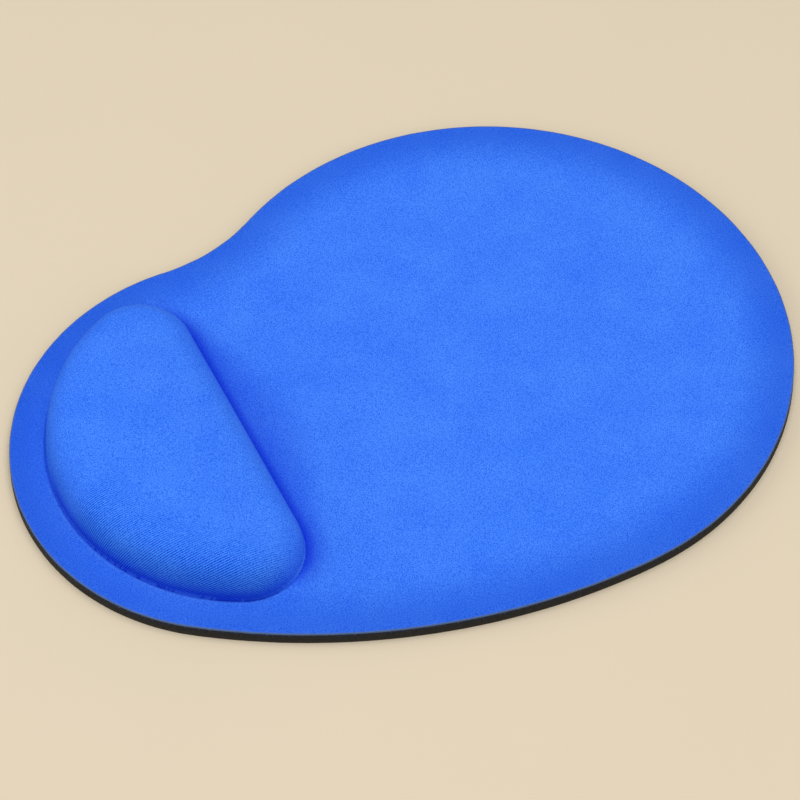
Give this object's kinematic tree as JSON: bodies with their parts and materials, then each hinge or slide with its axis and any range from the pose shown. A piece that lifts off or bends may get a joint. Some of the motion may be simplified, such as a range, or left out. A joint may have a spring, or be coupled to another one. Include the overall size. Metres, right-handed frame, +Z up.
{
  "type": "mouse mat with wrist rest",
  "caption": "Rounded foam mouse mat with a cloth top and a raised half-moon wrist cushion at its narrower end.",
  "frame": {"origin": "middle of the mat's outline box, on the desk", "axes": "+Y along the mat from the wrist end to the mouse end, +X to the user's right, +Z up"},
  "size_m": [0.1768, 0.234, 0.0182],
  "materials": {
    "black_foam": "matt closed-cell foam, die-cut edge, studded grip underside",
    "glue": "dried contact glue, thin and slightly shiny",
    "cushion_foam": "moulded soft open-cell foam",
    "bond_film": "milky hot-melt film",
    "blue_jersey": "fine knitted jersey with a soft sheen"
  },
  "bodies": {
    "root": {"base_sheet": "black_foam", "core_glue_patch": "glue", "wrist_core": "cushion_foam", "cloth_bond_film": "bond_film", "cover_cloth": "blue_jersey"}
  },
  "joints": []
}
